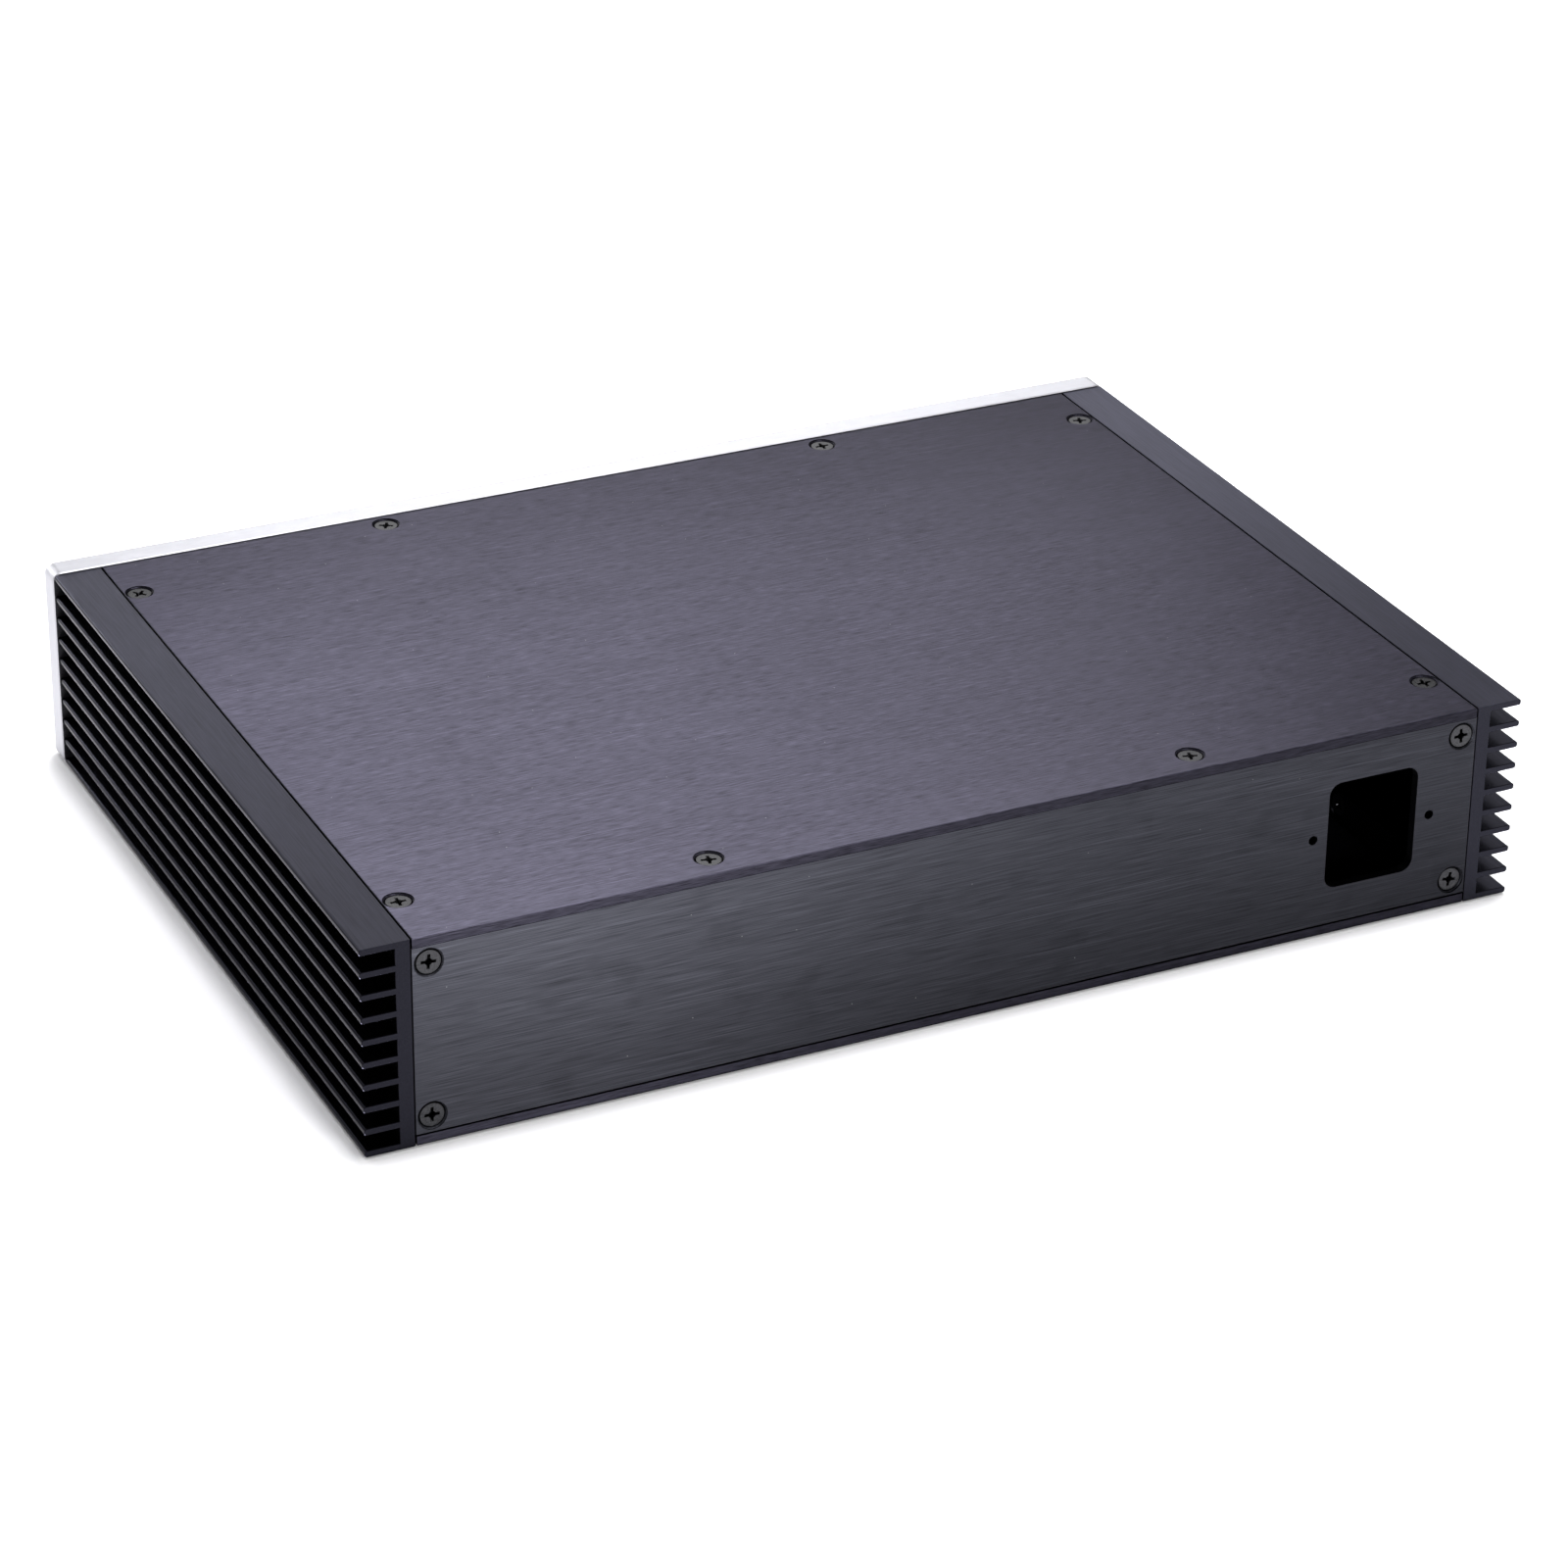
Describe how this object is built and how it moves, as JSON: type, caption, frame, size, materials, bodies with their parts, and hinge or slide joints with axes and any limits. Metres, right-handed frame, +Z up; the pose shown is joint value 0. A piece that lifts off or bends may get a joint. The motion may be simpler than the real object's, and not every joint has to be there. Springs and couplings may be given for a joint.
{
  "type": "heat-sink equipment enclosure",
  "caption": "Flat aluminium equipment enclosure with finned heat-sink sides, a thick silver front panel, screwed black covers and a mains inlet cut-out.",
  "frame": {"origin": "under the middle of the whole case, level with the lowest edge of the front panel", "axes": "+X to the right seen from the front, +Y to the rear, +Z up"},
  "size_m": [0.3712, 0.2706, 0.0667],
  "materials": {
    "silver_anodised": "fine brushed, clear anodised",
    "black_brushed_plate": "brushed, black anodised",
    "black_extrusion": "extruded, black anodised",
    "black_bar": "drawn bar, black anodised",
    "black_steel": "black zinc plated"
  },
  "bodies": {
    "root": {"front_panel": "silver_anodised", "rear_panel": "black_brushed_plate", "top_cover": "black_brushed_plate", "bottom_cover": "black_brushed_plate", "heatsink_left": "black_extrusion", "heatsink_right": "black_extrusion", "crossbar_front_top": "black_bar", "crossbar_rear_top": "black_bar", "side_rail_left_top": "black_bar", "side_rail_right_top": "black_bar", "top_cover_corner_screws": "black_steel", "top_cover_front_screws": "black_steel", "top_cover_rear_screws": "black_steel", "crossbar_front_bottom": "black_bar", "crossbar_rear_bottom": "black_bar", "side_rail_left_bottom": "black_bar", "side_rail_right_bottom": "black_bar", "bottom_cover_corner_screws": "black_steel", "bottom_cover_front_screws": "black_steel", "bottom_cover_rear_screws": "black_steel", "rear_panel_screws": "black_steel", "front_frame_screws": "black_steel", "front_panel_screws": "black_steel", "heatsink_left_screws": "black_steel", "heatsink_right_screws": "black_steel"}
  },
  "joints": []
}
